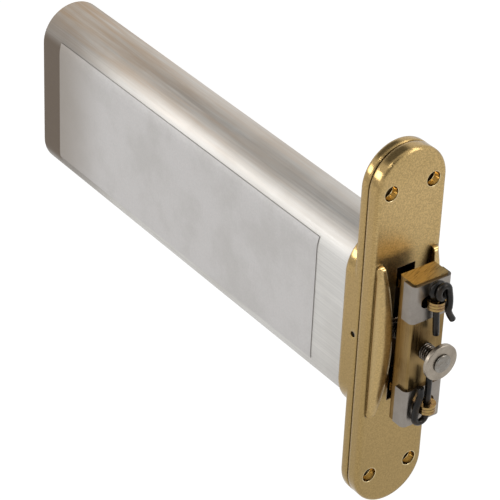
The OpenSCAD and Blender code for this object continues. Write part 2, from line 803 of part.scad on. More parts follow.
module damper_piston() {
    groove_y = piston_front + piston_l / 2;
    color(steel) difference() {
        ring(cylinder_id - 2 * run_clear, 2 * piston_bore_r, piston_front, piston_back);
        ring(cylinder_od, 2 * piston_groove_r, groove_y - seal_d / 2 - run_clear,
            groove_y + seal_d / 2 + run_clear);
        for (a = [45:90:315]) rotate([0, a, 0]) bar(flow_d, piston_front - cut, piston_back + cut, flow_r);
    }
}

module piston_seal() {
    color(rubber) seal_ring(cylinder_id / 2 - seal_d / 2 - run_clear, piston_front + piston_l / 2);
}

module valve_disc() {
    face = piston_back + seat_clear;
    color(steel) ring(valve_d, damper_rod_d + 2 * run_clear, face, face + ring_t);
}

module valve_stop_ring() {
    color(steel) ring(damper_rod_d + 2 * seal_d, damper_rod_d + 2 * seat_clear, stop_ring_front, stop_ring_back);
}

body_tube();
end_plug();
label_film();
face_plate();
lock_pin();
spring_washers();
upper_spring();
lower_spring();
damper_cylinder();
damper_front_plug();
front_plug_seal();
damper_gland();
rod_seal();
gland_circlip();
anchor_plate();
adjuster_screw();
adjuster_disc();
adjuster_block();
upper_saddle_clip();
lower_saddle_clip();
upper_r_clip();
lower_r_clip();
upper_chain_outer_leaves();
upper_chain_inner_leaves();
upper_chain_pins();
lower_chain_outer_leaves();
lower_chain_inner_leaves();
lower_chain_pins();
upper_pull_rod();
lower_pull_rod();
crosshead();
spring_cups();
rod_nuts();
damper_rod();
damper_rod_nut();
damper_piston();
piston_seal();
valve_stop_ring();
valve_disc();
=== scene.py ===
"""Looks of a twin-chain concealed door closer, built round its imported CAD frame.

Lengths in the classes below are millimetres unless a name or docstring says otherwise, while Blender
works in metres.
X runs across the plates, Y from the plates into the door along the tube, Z up along the plates.
"""

import logging
import math
from dataclasses import dataclass
from enum import Enum
from typing import Any

import bpy
from mathutils import Matrix, Vector

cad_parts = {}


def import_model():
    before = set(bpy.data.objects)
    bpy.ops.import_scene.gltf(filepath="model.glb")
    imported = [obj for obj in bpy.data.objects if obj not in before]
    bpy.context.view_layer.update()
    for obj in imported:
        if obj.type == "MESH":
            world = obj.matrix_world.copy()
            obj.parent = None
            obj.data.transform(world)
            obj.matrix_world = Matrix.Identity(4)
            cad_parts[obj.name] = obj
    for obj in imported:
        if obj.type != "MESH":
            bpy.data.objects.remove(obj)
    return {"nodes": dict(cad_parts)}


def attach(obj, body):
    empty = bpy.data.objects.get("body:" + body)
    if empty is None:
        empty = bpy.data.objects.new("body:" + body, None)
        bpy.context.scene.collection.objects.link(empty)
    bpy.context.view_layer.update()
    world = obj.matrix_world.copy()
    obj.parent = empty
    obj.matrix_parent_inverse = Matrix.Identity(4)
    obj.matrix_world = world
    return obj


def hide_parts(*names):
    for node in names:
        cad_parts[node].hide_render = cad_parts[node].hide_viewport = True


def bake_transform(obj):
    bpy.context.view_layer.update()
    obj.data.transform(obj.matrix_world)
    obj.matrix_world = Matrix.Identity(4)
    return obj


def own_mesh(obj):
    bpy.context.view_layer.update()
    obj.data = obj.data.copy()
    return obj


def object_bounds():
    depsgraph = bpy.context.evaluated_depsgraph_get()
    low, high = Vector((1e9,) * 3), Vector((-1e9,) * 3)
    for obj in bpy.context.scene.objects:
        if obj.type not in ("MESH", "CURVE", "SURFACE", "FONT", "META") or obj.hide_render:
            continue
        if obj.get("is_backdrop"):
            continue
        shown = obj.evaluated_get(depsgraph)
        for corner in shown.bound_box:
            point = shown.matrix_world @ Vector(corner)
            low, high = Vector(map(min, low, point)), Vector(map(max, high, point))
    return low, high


MM = 0.001
# What Blender's noise mostly lies between, and the wider limits that the shade of fine marks uses.
NOISE_LOW, NOISE_HIGH = 0.3, 0.7
SHADE_LOW, SHADE_HIGH = 0.25, 0.75
NOISE_ROUGHNESS = 0.6
PATCH_EDGE = 0.15
CORNER_SAMPLES, BEVEL_SAMPLES = 8, 6
SHARP_DEG = 40
# The rings of a wire's domed end, and how deep the dome is as a share of the wire's radius.
DOME_DEG = (80, 50, 20)
DOME_DEPTH = 0.6
# An area lamp's watts for each square metre of its face and each unit of that face's brightness.
LAMP_WATTS = 4

Tree = bpy.types.NodeTree
Socket = bpy.types.NodeSocket
Nodes = dict[str, bpy.types.Object]
Ring = list[Vector]
Pair = tuple[float, float]
Span = Pair
Triple = tuple[float, float, float]

log = logging.getLogger("door_closer")


def linear(hex_colour: str) -> tuple[float, float, float, float]:
    """Turns an sRGB hex colour into linear RGBA.

    Args:
        hex_colour: six hex digits after a hash sign.
    Returns:
        Linear red, green and blue, with an alpha of 1.
    """
    channels = [int(hex_colour[i:i + 2], 16) / 255 for i in (1, 3, 5)]
    return (*[c / 12.92 if c <= 0.04045 else ((c + 0.055) / 1.055) ** 2.4 for c in channels], 1.0)


def add_node(tree: Tree, kind: str, settings: dict[Any, Any] | None = None,
             links: dict[Any, Socket] | None = None) -> bpy.types.Node:
    """Adds one node with its settings and links.

    Args:
        tree: the node tree to add to.
        kind: Blender's name for the node type, without its ShaderNode prefix.
        settings: values by input socket name or index, or by the node's own property name.
        links: output sockets by the input socket that they feed.
    Returns:
        The new node.
    """
    node = tree.nodes.new("ShaderNode" + kind)
    for key, value in (settings or {}).items():
        if isinstance(key, str) and hasattr(node, key):
            setattr(node, key, value)
        else:
            node.inputs[key].default_value = value
    for key, socket in (links or {}).items():
        tree.links.new(socket, node.inputs[key])
    return node


class Axis(Enum):
    """The directions that a surface can face."""

    ACROSS = (1.0, 0.0, 0.0)
    ALONG = (0.0, 1.0, 0.0)
    UP = (0.0, 0.0, 1.0)


class Grain(Enum):
    """How a surface was worked: the length of its fine marks in X, Y and Z, as a multiple of their width.

    Turned marks are measured outwards from the Y axis and along it; 0 takes no account of a direction.
    """

    BLASTED = (1.0, 1.0, 1.0)
    DRAWN = (1.0, 90.0, 1.0)
    PLANED = (1.0, 1.0, 40.0)
    TURNED = (1.0, 1.0, 0.0)


@dataclass(frozen=True)
class Step:
    """A smooth step from start to end, while a value goes from low to high."""

    value: Socket
    low: float
    high: float
    start: float = 0.0
    end: float = 1.0


@dataclass(frozen=True)
class Finish:
    """A worked metal or plastic: a colour with soft patches of another, fine marks, grime and painted shade
    in corners.

    A span says where a step starts and where it ends.
    """

    name: str
    colour: str
    patch: str
    metallic: float = 1.0
    roughness: float = 0.35
    swing: float = 0.06
    patch_mm: float = 20.0
    patch_share: float = 0.4
    patch_detail: float = 4.0
    grain: Grain = Grain.BLASTED
    grain_mm: float = 0.5
    shade: float = 0.12
    bump_mm: float = 0.004
    # Grime and painted shade that ambient occlusion lays into corners and recesses: its colour and its
    # reach.
    grime_and_shade: str = "#1c150c"
    grime_and_shade_mm: float = 0.0
    corner: Span = (0.88, 0.56)

    def material(self) -> bpy.types.Material:
        """Gives the material of this finish, made on first use.

        Returns:
            The material, named for the finish.
        """
        found = bpy.data.materials.get(self.name)
        if found:
            return found
        made = bpy.data.materials.new(self.name)
        made.use_nodes = True
        self.dress(made.node_tree)
        return made

    def dress(self, tree: Tree) -> None:
        """Builds the nodes of this finish.

        Args:
            tree: the material's node tree.
        """
        shader = tree.nodes["Principled BSDF"]
        shader.inputs["Metallic"].default_value = self.metallic
        marks = self.marks(tree)
        colour = self.tint(tree, marks)
        if self.grime_and_shade_mm:
            colour = self.lay_grime_and_painted_light(tree, colour)
        tree.links.new(colour, shader.inputs["Base Color"])
        tree.links.new(self.gloss(tree, marks), shader.inputs["Roughness"])
        tree.links.new(self.relief(tree, marks), shader.inputs["Normal"])

    def place(self, tree: Tree) -> Socket:
        """Gives the place on the object, in mm."""
        spot = add_node(tree, "TexCoord").outputs["Object"]
        return add_node(tree, "VectorMath", {"operation": "SCALE", "Scale": 1 / MM}, {0: spot}).outputs[0]

    def axes(self, tree: Tree, folded: bool = False) -> dict[str, Socket]:
        """Gives the place on the object along each axis.

        Args:
            tree: the material's node tree.
            folded: whether both sides of the origin count alike.
        Returns:
            The places by the axis's letter, in mm.
        """
        where = self.place(tree)
        if folded:
            where = add_node(tree, "VectorMath", {"operation": "ABSOLUTE"}, {0: where}).outputs[0]
        split = add_node(tree, "SeparateXYZ", {}, {0: where})
        return {axis: split.outputs[axis] for axis in "XYZ"}

    def noise(self, tree: Tree, where: Socket, size: Triple, detail: float = 3.0) -> Socket:
        """Makes a soft noise.

        Args:
            tree: the material's node tree.
            where: the place, in mm.
            size: size of the noise's lumps along X, Y and Z, in mm; 0 takes no account of that direction.
            detail: how many finer layers it has.
        Returns:
            The noise.
        """
        scale = tuple(1 / s if s else 0.0 for s in size)
        spread = add_node(tree, "VectorMath", {"operation": "MULTIPLY", 1: scale}, {0: where}).outputs[0]
        return add_node(tree, "TexNoise", {"Scale": 1.0, "Detail": detail, "Roughness": NOISE_ROUGHNESS},
                        {"Vector": spread}).outputs["Fac"]

    def share(self, tree: Tree, *steps: Step) -> Socket:
        """Multiplies smooth steps.

        Args:
            tree: the material's node tree.
            steps: the steps.
        Returns:
            Their product.
        """
        product, *others = [
            add_node(tree, "MapRange", {"interpolation_type": "SMOOTHSTEP", "From Min": step.low,
                                        "From Max": step.high, "To Min": step.start, "To Max": step.end},
                     {"Value": step.value}).outputs[0] for step in steps]
        for other in others:
            product = add_node(tree, "Math", {"operation": "MULTIPLY"}, {0: product, 1: other}).outputs[0]
        return product

    def layer(self, tree: Tree, under: Socket, over: str, *steps: Step) -> Socket:
        """Lays a colour over another one.

        Args:
            tree: the material's node tree.
            under: the colour below.
            over: the colour on top, as sRGB hex.
            steps: the steps whose product is the share of the top colour.
        Returns:
            The mixed colour.
        """
        return add_node(tree, "Mix", {"data_type": "RGBA", "B": linear(over)},
                        {"Factor": self.share(tree, *steps), "A": under}).outputs["Result"]

    def normal(self, tree: Tree) -> Socket:
        """Gives the direction that the surface faces."""
        return add_node(tree, "NewGeometry").outputs["Normal"]

    def facing(self, tree: Tree, axis: Axis) -> Socket:
        """Gives 1 where the surface faces along an axis and 0 where it runs along it."""
        dot = add_node(tree, "VectorMath", {"operation": "DOT_PRODUCT", 1: axis.value},
                       {0: self.normal(tree)})
        return add_node(tree, "Math", {"operation": "ABSOLUTE"}, {0: dot.outputs["Value"]}).outputs[0]

    def marks(self, tree: Tree) -> Socket:
        """Makes the fine marks of the work.

        Args:
            tree: the material's node tree.
        Returns:
            The marks' height.
        """
        where = self.place(tree)
        if self.grain is Grain.TURNED:
            flat = add_node(tree, "VectorMath", {"operation": "MULTIPLY", 1: (1.0, 0.0, 1.0)}, {0: where})
            radius = add_node(tree, "VectorMath", {"operation": "LENGTH"}, {0: flat.outputs[0]})
            where = add_node(tree, "CombineXYZ", {},
                             {0: radius.outputs["Value"], 1: self.axes(tree)["Y"]}).outputs[0]
        return self.noise(tree, where, tuple(self.grain_mm * s for s in self.grain.value))

    def tint(self, tree: Tree, marks: Socket) -> Socket:
        """Makes the surface's colour.

        Args:
            tree: the material's node tree.
            marks: the fine marks' height.
        Returns:
            The colour.
        """
        patches = self.noise(tree, self.place(tree), (self.patch_mm,) * 3, self.patch_detail)
        middle = NOISE_HIGH - (NOISE_HIGH - NOISE_LOW) * self.patch_share
        share = self.share(tree, Step(patches, middle - PATCH_EDGE, middle + PATCH_EDGE))
        colour = add_node(tree, "Mix", {"data_type": "RGBA", "A": linear(self.colour),
                                        "B": linear(self.patch)}, {"Factor": share}).outputs["Result"]
        light = self.share(tree, Step(marks, SHADE_LOW, SHADE_HIGH, 1 - self.shade, 1 + self.shade))
        return add_node(tree, "VectorMath", {"operation": "SCALE"}, {0: colour, "Scale": light}).outputs[0]

    def lay_grime_and_painted_light(self, tree: Tree, colour: Socket) -> Socket:
        """Lays grime and painted shade into the corners and recesses of a clean colour."""
        # Ambient occlusion darkens corners and recesses: painted shade as well as grime.
        corner = add_node(tree, "AmbientOcclusion",
                          {"samples": CORNER_SAMPLES, "Distance": self.grime_and_shade_mm * MM})
        return self.layer(tree, colour, self.grime_and_shade, Step(corner.outputs["AO"], *self.corner))

    def gloss(self, tree: Tree, marks: Socket) -> Socket:
        """Makes the roughness from the fine marks' height."""
        return self.share(tree, Step(marks, NOISE_LOW, NOISE_HIGH, self.roughness - self.swing,
                                     self.roughness + self.swing))

    def relief(self, tree: Tree, marks: Socket) -> Socket:
        """Makes the bumped normal from the fine marks' height."""
        return add_node(tree, "Bump", {"Strength": 1.0, "Distance": self.bump_mm * MM},
                        {"Height": marks, "Normal": self.normal(tree)}).outputs[0]


@dataclass(frozen=True)
class CastPlate(Finish):
    """Brass: blasted faces, polished edges, paler cheeks, painted shade on sides, bottom and slot, painted
    highlight in holes.
    """

    polish: float = 0.08
    edge: Span = (0.92, 0.75)
    # Painted shade: a darker colour on the sides and rounded rims, standing in for their dark reflections.
    side: str = "#ae9260"
    side_shade_share: float = 0.75
    # Painted shade: a darker colour towards the bottom of the plates.
    low: str = "#a38a5a"
    low_shade_share: float = 0.9
    low_z: Span = (60.0, -60.0)
    # A paler colour on the cheeks, which stand in front of the plate's face.
    cheek_pale: str = "#e0c48e"
    cheek_pale_share: float = 0.26
    cheek_pale_y: Span = (-10.2, -11.6)
    # Painted shade in the slot: the colour called oil, its share, and the slot's edges.
    oil: str = "#75665a"
    oil_share: float = 0.85
    slot_shade_x: Span = (3.95, 3.75)
    slot_shade_z: Span = (26.9, 26.6)
    # Painted highlight: a paler colour on the screw holes' walls, and the holes' places and radii.
    hole_highlight: str = "#e9d4a4"
    hole_x: float = 8.65
    hole_z: float = 56.5
    hole_r: Span = (3.05, 2.8)
    edge_round: float = 0.5
    rim_round: float = 1.8
    rim_r: Span = (11.3, 12.3)
    rim_y: Span = (-9.7, -9.3)
    end_z: float = 56.25
    cheek_round: float = 1.7
    cheek_y: Span = (-9.7, -10.4)
    cheek_z: Span = (28.0, 24.0)
    speckle: float = 0.14

    def normal(self, tree: Tree) -> Socket:
        """Makes the normal of edges that are worn round, most of all on the plates' rims and the cheeks.

        Args:
            tree: the material's node tree.
        Returns:
            The rounded normal.
        """
        depth, fold = self.axes(tree)["Y"], self.axes(tree, folded=True)
        past = add_node(tree, "Math", {"operation": "SUBTRACT", 1: self.end_z}, {0: fold["Z"]})
        past = add_node(tree, "Math", {"operation": "MAXIMUM", 1: 0.0}, {0: past.outputs[0]})
        flat = add_node(tree, "CombineXYZ", {}, {0: fold["X"], 1: past.outputs[0]})
        out = add_node(tree, "VectorMath", {"operation": "LENGTH"}, {0: flat.outputs[0]})
        rim = self.share(tree, Step(out.outputs["Value"], *self.rim_r), Step(depth, *self.rim_y))
        radius = add_node(tree, "MapRange", {"To Min": self.edge_round * MM, "To Max": self.rim_round * MM},
                          {"Value": rim})
        cheek = self.share(tree, Step(depth, *self.cheek_y, 0.0, self.cheek_round * MM),
                           Step(fold["Z"], *self.cheek_z))
        most = add_node(tree, "Math", {"operation": "MAXIMUM"}, {0: radius.outputs[0], 1: cheek})
        return add_node(tree, "Bevel", {"samples": BEVEL_SAMPLES}, {"Radius": most.outputs[0]}).outputs[0]

    def tint(self, tree: Tree, marks: Socket) -> Socket:
        """Makes the colour: painted shade on the polished sides, towards the bottom and in the slot, and
        paler on the cheeks.

        Args:
            tree: the material's node tree.
            marks: the fine marks' height.
        Returns:
            The colour.
        """
        part, fold = self.axes(tree), self.axes(tree, folded=True)
        # Painted shade on the surfaces that don't face the front or back: the sides and rims.
        turned = Step(self.facing(tree, Axis.ALONG), *self.edge, 0.0, self.side_shade_share)
        colour = self.layer(tree, super().tint(tree, marks), self.side, turned)
        # Painted shade: darker towards the bottom.
        colour = self.layer(tree, colour, self.low, Step(part["Z"], *self.low_z, 0.0, self.low_shade_share))
        colour = self.layer(tree, colour, self.cheek_pale, Step(part["Y"], *self.cheek_pale_y, 0.0, self.cheek_pale_share))
        # Painted shade: the slot's walls get the dark colour called oil.
        colour = self.layer(tree, colour, self.oil, Step(fold["X"], *self.slot_shade_x, 0.0, self.oil_share),
                            Step(fold["Z"], *self.slot_shade_z))
        light = self.share(tree, Step(marks, NOISE_LOW, NOISE_HIGH, 1 - self.speckle, 1 + self.speckle))
        return add_node(tree, "VectorMath", {"operation": "SCALE"}, {0: colour, "Scale": light}).outputs[0]

    def lay_grime_and_painted_light(self, tree: Tree, colour: Socket) -> Socket:
        """Lays grime and painted shade into the corners, and paints the screw holes' walls paler, a painted
        highlight.

        Args:
            tree: the material's node tree.
            colour: the clean colour.
        Returns:
            The colour with its grime, painted shade and painted highlight.
        """
        fold = self.axes(tree, folded=True)
        flat = add_node(tree, "CombineXYZ", {}, {0: fold["X"], 1: fold["Z"]})
        out = add_node(tree, "VectorMath", {"operation": "DISTANCE", 1: (self.hole_x, self.hole_z, 0.0)},
                       {0: flat.outputs[0]})
        # Painted highlight: the screw holes' walls are painted paler, over the painted shade.
        return self.layer(tree, super().lay_grime_and_painted_light(tree, colour), self.hole_highlight,
                          Step(out.outputs["Value"], *self.hole_r))

    def gloss(self, tree: Tree, marks: Socket) -> Socket:
        """Makes the roughness, which drops on the sides and round edges."""
        edge = self.share(tree, Step(self.facing(tree, Axis.ALONG), *self.edge))
        return add_node(tree, "Mix", {"data_type": "FLOAT", "B": self.polish},
                        {"Factor": edge, "A": super().gloss(tree, marks)}).outputs["Result"]


@dataclass(frozen=True)
class MilledBlock(Finish):
    """Brass bar with saw marks across its ends and drawing lines along its sides."""

    saw_mm: float = 0.5
    saw_length: float = 6.0
    saw_deg: float = 70.0
    end: str = "#8f7849"
    end_share: float = 0.8
    ends: Span = (0.6, 0.8)
    groove: Span = (0.38, 0.56)
    groove_light: Span = (0.5, 1.1)

    def marks(self, tree: Tree) -> Socket:
        """Makes lines along the bar, and slanting saw marks on its ends.

        Args:
            tree: the material's node tree.
        Returns:
            The marks' height.
        """
        slant = add_node(tree, "VectorRotate",
                         {"rotation_type": "Z_AXIS", "Angle": math.radians(self.saw_deg)},
                         {"Vector": self.place(tree)}).outputs[0]
        saw = self.noise(tree, slant, (self.saw_mm, self.saw_length, 0.0))
        ends = self.share(tree, Step(self.facing(tree, Axis.UP), *self.ends))
        return add_node(tree, "Mix", {"data_type": "FLOAT"},
                        {"Factor": ends, "A": super().marks(tree), "B": saw}).outputs["Result"]

    def tint(self, tree: Tree, marks: Socket) -> Socket:
        """Makes the colour, which has dark grooves on the sawn ends.

        Args:
            tree: the material's node tree.
            marks: the fine marks' height.
        Returns:
            The colour.
        """
        sawn = Step(self.facing(tree, Axis.UP), *self.ends, 0.0, self.end_share)
        colour = self.layer(tree, super().tint(tree, marks), self.end, sawn)
        groove = self.share(tree, Step(marks, *self.groove, *self.groove_light))
        light = add_node(tree, "Mix", {"data_type": "FLOAT", "A": 1.0},
                         {"Factor": self.share(tree, sawn), "B": groove}).outputs["Result"]
        return add_node(tree, "VectorMath", {"operation": "SCALE"}, {0: colour, "Scale": light}).outputs[0]


@dataclass(frozen=True)
class CutSheet(Finish):
    """Plated sheet whose cut edges get painted shade."""

    # Painted shade on the cut edges: its colour, under the name cut, and how closely the edges face up or
    # down.
    cut: str = "#5d554c"
    shaded_cut_edge: Span = (0.8, 0.95)

    def tint(self, tree: Tree, marks: Socket) -> Socket:
        """Makes the colour, with painted shade on the cut edges that face up and down."""
        return self.layer(tree, super().tint(tree, marks), self.cut,
                          Step(self.facing(tree, Axis.UP), *self.shaded_cut_edge))


@dataclass(frozen=True)
class DrawnTube(Finish):
    """Mill-finish aluminium tube: lengthwise lines, brown streaks along its top, a darker, duller far end.
    """

    stain: str = "#c2a583"
    top_z: Span = (24.0, 33.0)
    streak_mm: float = 2.4
    streak_length: float = 43.2
    streak_detail: float = 5.0
    streak: Span = (0.12, 0.88)
    streak_y: Span = (20.0, 170.0)
    streak_share: Span = (0.3, 0.85)
    # A darker colour on the flanks towards the far end.
    far_dark: str = "#6e6154"
    far_dark_share: float = 0.6
    far_dark_y: Span = (135.0, 179.5)
    flank: Span = (0.3, 0.95)
    # A darker strip on the film's side, past the film.
    end: str = "#7a6d60"
    end_share: float = 0.85
    end_x: Span = (-12.0, -13.2)
    end_y: Span = (177.5, 179.5)
    dull: float = 0.76
    dull_y: Span = (100.0, 179.5)

    def tint(self, tree: Tree, marks: Socket) -> Socket:
        """Makes the colour, with streaks along the upper side, flanks darker towards the far end and a
        darker strip past the film.

        Args:
            tree: the material's node tree.
            marks: the fine marks' height.
        Returns:
            The colour.
        """
        part = self.axes(tree)
        lines = self.noise(tree, self.place(tree), (self.streak_mm, self.streak_length, self.streak_mm),
                           self.streak_detail)
        colour = self.layer(tree, super().tint(tree, marks), self.stain, Step(part["Z"], *self.top_z),
                            Step(lines, *self.streak), Step(part["Y"], *self.streak_y, *self.streak_share))
        colour = self.layer(tree, colour, self.far_dark,
                            Step(part["Y"], *self.far_dark_y, 0.0, self.far_dark_share),
                            Step(self.facing(tree, Axis.ACROSS), *self.flank))
        return self.layer(tree, colour, self.end, Step(part["X"], *self.end_x),
                          Step(part["Y"], *self.end_y, 0.0, self.end_share))

    def gloss(self, tree: Tree, marks: Socket) -> Socket:
        """Makes the roughness, which rises towards the weathered far end."""
        far = self.share(tree, Step(self.axes(tree)["Y"], *self.dull_y))
        return add_node(tree, "Mix", {"data_type": "FLOAT", "B": self.dull},
                        {"Factor": far, "A": super().gloss(tree, marks)}).outputs["Result"]


@dataclass(frozen=True)
class EdgedFilm(Finish):
    """Silver film that is duller towards its far end, with a thin darker line along its border."""

    dull: str = "#a0978d"
    dull_share: float = 0.85
    dull_y: Span = (145.0, 180.0)
    near: float = 20.5
    top: float = 25.7
    border_dark: str = "#6c6862"
    border_dark_share: float = 0.55
    border: Span = (0.35, 0.0)

    def tint(self, tree: Tree, marks: Socket) -> Socket:
        """Makes the colour, with its dark border line.

        Args:
            tree: the material's node tree.
            marks: the fine marks' height.
        Returns:
            The colour.
        """
        part = self.axes(tree)
        inner = add_node(tree, "Math", {"operation": "SUBTRACT", 1: self.near}, {0: part["Y"]})
        below = add_node(tree, "Math", {"operation": "SUBTRACT", 0: self.top}, {1: part["Z"]})
        least = add_node(tree, "Math", {"operation": "MINIMUM"}, {0: inner.outputs[0], 1: below.outputs[0]})
        colour = self.layer(tree, super().tint(tree, marks), self.dull,
                            Step(part["Y"], *self.dull_y, 0.0, self.dull_share))
        return self.layer(tree, colour, self.border_dark,
                          Step(least.outputs[0], *self.border, 0.0, self.border_dark_share))


@dataclass(frozen=True)
class StainedScrew(Finish):
    """Screw steel whose thread is stained by old oil, with a clean end in front of the disc."""

    oil: str = "#574636"
    oil_mm: float = 1.2
    oil_lumps: Span = (0.3, 0.6)
    oil_share: Span = (0.15, 0.7)
    behind_y: Span = (-30.3, -29.9)

    def tint(self, tree: Tree, marks: Socket) -> Socket:
        """Makes the colour, which is brown behind the disc."""
        lumps = self.noise(tree, self.place(tree), (self.oil_mm,) * 3)
        return self.layer(tree, super().tint(tree, marks), self.oil,
                          Step(lumps, *self.oil_lumps, *self.oil_share),
                          Step(self.axes(tree)["Y"], *self.behind_y))


# Fine marks of 0.25 to 0.8 mm stand for finer real ones: all of them are drawn coarser so that they show.
# Blasted cast brass: a fine matt mottle, tan rather than yellow, with polished edges that mirror the lamps.
# The blasting's pits are 0.1 mm; they are drawn at 0.55 mm so that they show.
# Grime and painted shade darken its corners and recesses.
BRASS = CastPlate("blasted_cast_brass", "#c3a773", "#b69b66", roughness=0.36, patch_mm=35.0, grain_mm=0.55,
                  shade=0.1, bump_mm=0.012, grime_and_shade="#4a3616", grime_and_shade_mm=2.2)
# Drawn brass bar, sawn to length: darker and more golden, with straight lines that spread highlights.
BAR = MilledBlock("drawn_brass_bar", "#947b50", "#80683f", roughness=0.32, patch_mm=9.0, grain=Grain.PLANED,
                  grain_mm=0.4, shade=0.14, bump_mm=0.004)
# Extruded aluminium in mill finish: pale grey, duller towards its weathered far end, with lines along the
# tube that stretch reflections across it.
# The die lines are about 0.1 mm apart; they are drawn at 0.5 mm so that they show.
TUBE = DrawnTube("mill_finish_aluminium", "#dad8d4", "#d0cdc8", roughness=0.54, patch_mm=40.0,
                 grain=Grain.DRAWN, grain_mm=0.5, shade=0.09, bump_mm=0.003)
# Silver polyester film: an even, pale sheen, smoother than the bare tube.
FILM = EdgedFilm("silver_polyester_film", "#d3d0ce", "#cac7c4", metallic=0.75, roughness=0.42, patch_mm=18.0,
                 grain_mm=0.8, shade=0.05, bump_mm=0.001)
# Nickel plate on a blasted disc: warm pale grey with a fine stony mottle, and a rim that catches light.
NICKEL = Finish("blasted_nickel_plate", "#a79d8f", "#978d80", roughness=0.34, patch_mm=4.0, grain_mm=0.5,
                shade=0.16, bump_mm=0.008)
# Rolled screw steel with old oil in the thread: brown, with dark grooves, deepened by painted shade, and
# bright crests.
SCREW = StainedScrew("oiled_screw_steel", "#96928b", "#857e75", roughness=0.28, patch_mm=3.0, grain_mm=0.4,
                     shade=0.14, bump_mm=0.006, grime_and_shade="#14100b", grime_and_shade_mm=1.0)
# Zinc plate on pressed sheet: soft grey with faint cloudy spots, with painted shade on its cut edges.
ZINC = CutSheet("zinc_plated_sheet", "#9a938b", "#928b83", roughness=0.36, swing=0.02, patch_mm=5.0,
                grain_mm=0.3, shade=0.06, bump_mm=0.001)
# Black oxide on spring wire: nearly black with a soft oily gloss, brown where it is thin.
WIRE = Finish("black_oxide_wire", "#1d1c1b", "#302820", metallic=0.55, roughness=0.3, patch_mm=3.0,
              grain_mm=0.3, shade=0.2, bump_mm=0.006)
# Yellow passivated zinc on stamped leaves: gold with a rosy cast, with grime and painted shade in its
# corners.
LEAF = Finish("yellow_zinc_plate", "#ab8f5a", "#8f6f50", roughness=0.22, patch_mm=1.2, grain_mm=0.25,
              shade=0.15, grime_and_shade="#1a1208", grime_and_shade_mm=0.5)
# Oiled spring wire: dark blue-grey.
COIL = Finish("oiled_spring_wire", "#77777a", "#565453", roughness=0.32, patch_mm=6.0, grain_mm=0.4)
# Turned free-cutting steel: mid grey with fine rings.
STEEL = Finish("turned_steel", "#adaba8", "#97948f", roughness=0.3, patch_mm=10.0, grain=Grain.TURNED,
               grain_mm=0.4)
# Turned bronze: brown gold with fine rings.
BRONZE = Finish("turned_bronze", "#b8955a", "#97774a", roughness=0.3, patch_mm=6.0, grain=Grain.TURNED,
                grain_mm=0.35)
# Moulded nitrile rubber: black, matt, slightly dusty.
RUBBER = Finish("moulded_nitrile", "#1b1b1d", "#29292b", metallic=0.0, roughness=0.6, patch_mm=3.0,
                grain_mm=0.3)
# Moulded nylon: near black, with the mould's fine texture.
NYLON = Finish("moulded_nylon", "#2c2d31", "#37383c", metallic=0.0, roughness=0.5, patch_mm=8.0,
               grain_mm=0.4, bump_mm=0.01)


@dataclass
class SubAssembly:
    """A group of pieces that belong together."""

    def finishes(self) -> dict[str, Finish]:
        """Names the finish of each CAD node that is kept."""
        return {}

    def dress(self, nodes: Nodes) -> None:
        """Gives each kept CAD node its material.

        Args:
            nodes: the CAD nodes by name.
        """
        for name, finish in self.finishes().items():
            slots = nodes[name].data.materials
            slots.clear()
            slots.append(finish.material())
            log.info("%s: %s", name, finish.name)

    def build(self) -> None:
        """Makes the pieces that replace CAD nodes; most groups have none."""

    def skin(self, rings: list[Ring]) -> bpy.types.Mesh:
        """Makes a closed skin over rings of points.

        Args:
            rings: rings of equally many points, in mm.
        Returns:
            The mesh, in metres, with smooth faces and sharp edges.
        """
        sides = len(rings[0])
        last = (len(rings) - 1) * sides
        faces = [(low + k, low + (k + 1) % sides, low + sides + (k + 1) % sides, low + sides + k)
                 for low in range(0, last, sides) for k in range(sides)]
        faces += [tuple(reversed(range(sides))), tuple(range(last, last + sides))]
        mesh = bpy.data.meshes.new("skin")
        mesh.from_pydata([p * MM for ring in rings for p in ring], [], faces)
        mesh.polygons.foreach_set("use_smooth", [True] * len(faces))
        mesh.set_sharp_from_angle(angle=math.radians(SHARP_DEG))
        mesh.update()
        return mesh

    def sweep(self, path: list[Vector], normals: list[Vector], radius: float, sides: int) -> list[Ring]:
        """Makes rings for a round wire with domed ends.

        Args:
            path: points along the wire's middle, in mm.
            normals: for each point, a direction across the wire that one side keeps facing.
            radius: the wire's radius, in mm.
            sides: points on each ring.
        Returns:
            The rings, in mm.
        """
        last = len(path) - 1
        dome = [(1 - math.sin(math.radians(a)), math.cos(math.radians(a))) for a in DOME_DEG]
        stations = [(0, back, wide) for back, wide in dome]
        stations += [(i, 1.0, 1.0) for i in range(1, last)]
        stations += [(last, back, wide) for back, wide in reversed(dome)]
        turns = [2 * math.pi * k / sides for k in range(sides)]
        rings = []
        for i, back, wide in stations:
            along = (path[min(i + 1, last)] - path[max(i - 1, 0)]).normalized()
            side = along.cross(normals[i]).normalized()
            up = side.cross(along)
            inward = along if i == 0 else -along if i == last else Vector()
            middle = path[i] + inward * back * radius * DOME_DEPTH
            rings.append([middle + radius * wide * (side * math.cos(t) + up * math.sin(t)) for t in turns])
        return rings

    def piece(self, name: str, mesh: bpy.types.Mesh, finish: Finish, body: str | None, slot: str,
              node: str) -> bpy.types.Object:
        """Adds a piece that stands for a CAD node.

        Args:
            name: the piece's name.
            mesh: its mesh, in metres.
            finish: its finish.
            body: the CAD body that carries it, or None for a piece that lies between two bodies.
            slot: the record's material slot; not used.
            node: the CAD node that it replaces.
        Returns:
            The new object.
        """
        mesh.name = name
        mesh.materials.append(finish.material())
        made = bpy.data.objects.new(name, mesh)
        bpy.context.scene.collection.objects.link(made)
        if body:
            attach(made, body)
        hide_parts(node)
        log.info("%s: %s, for %s", name, finish.name, node)
        return made


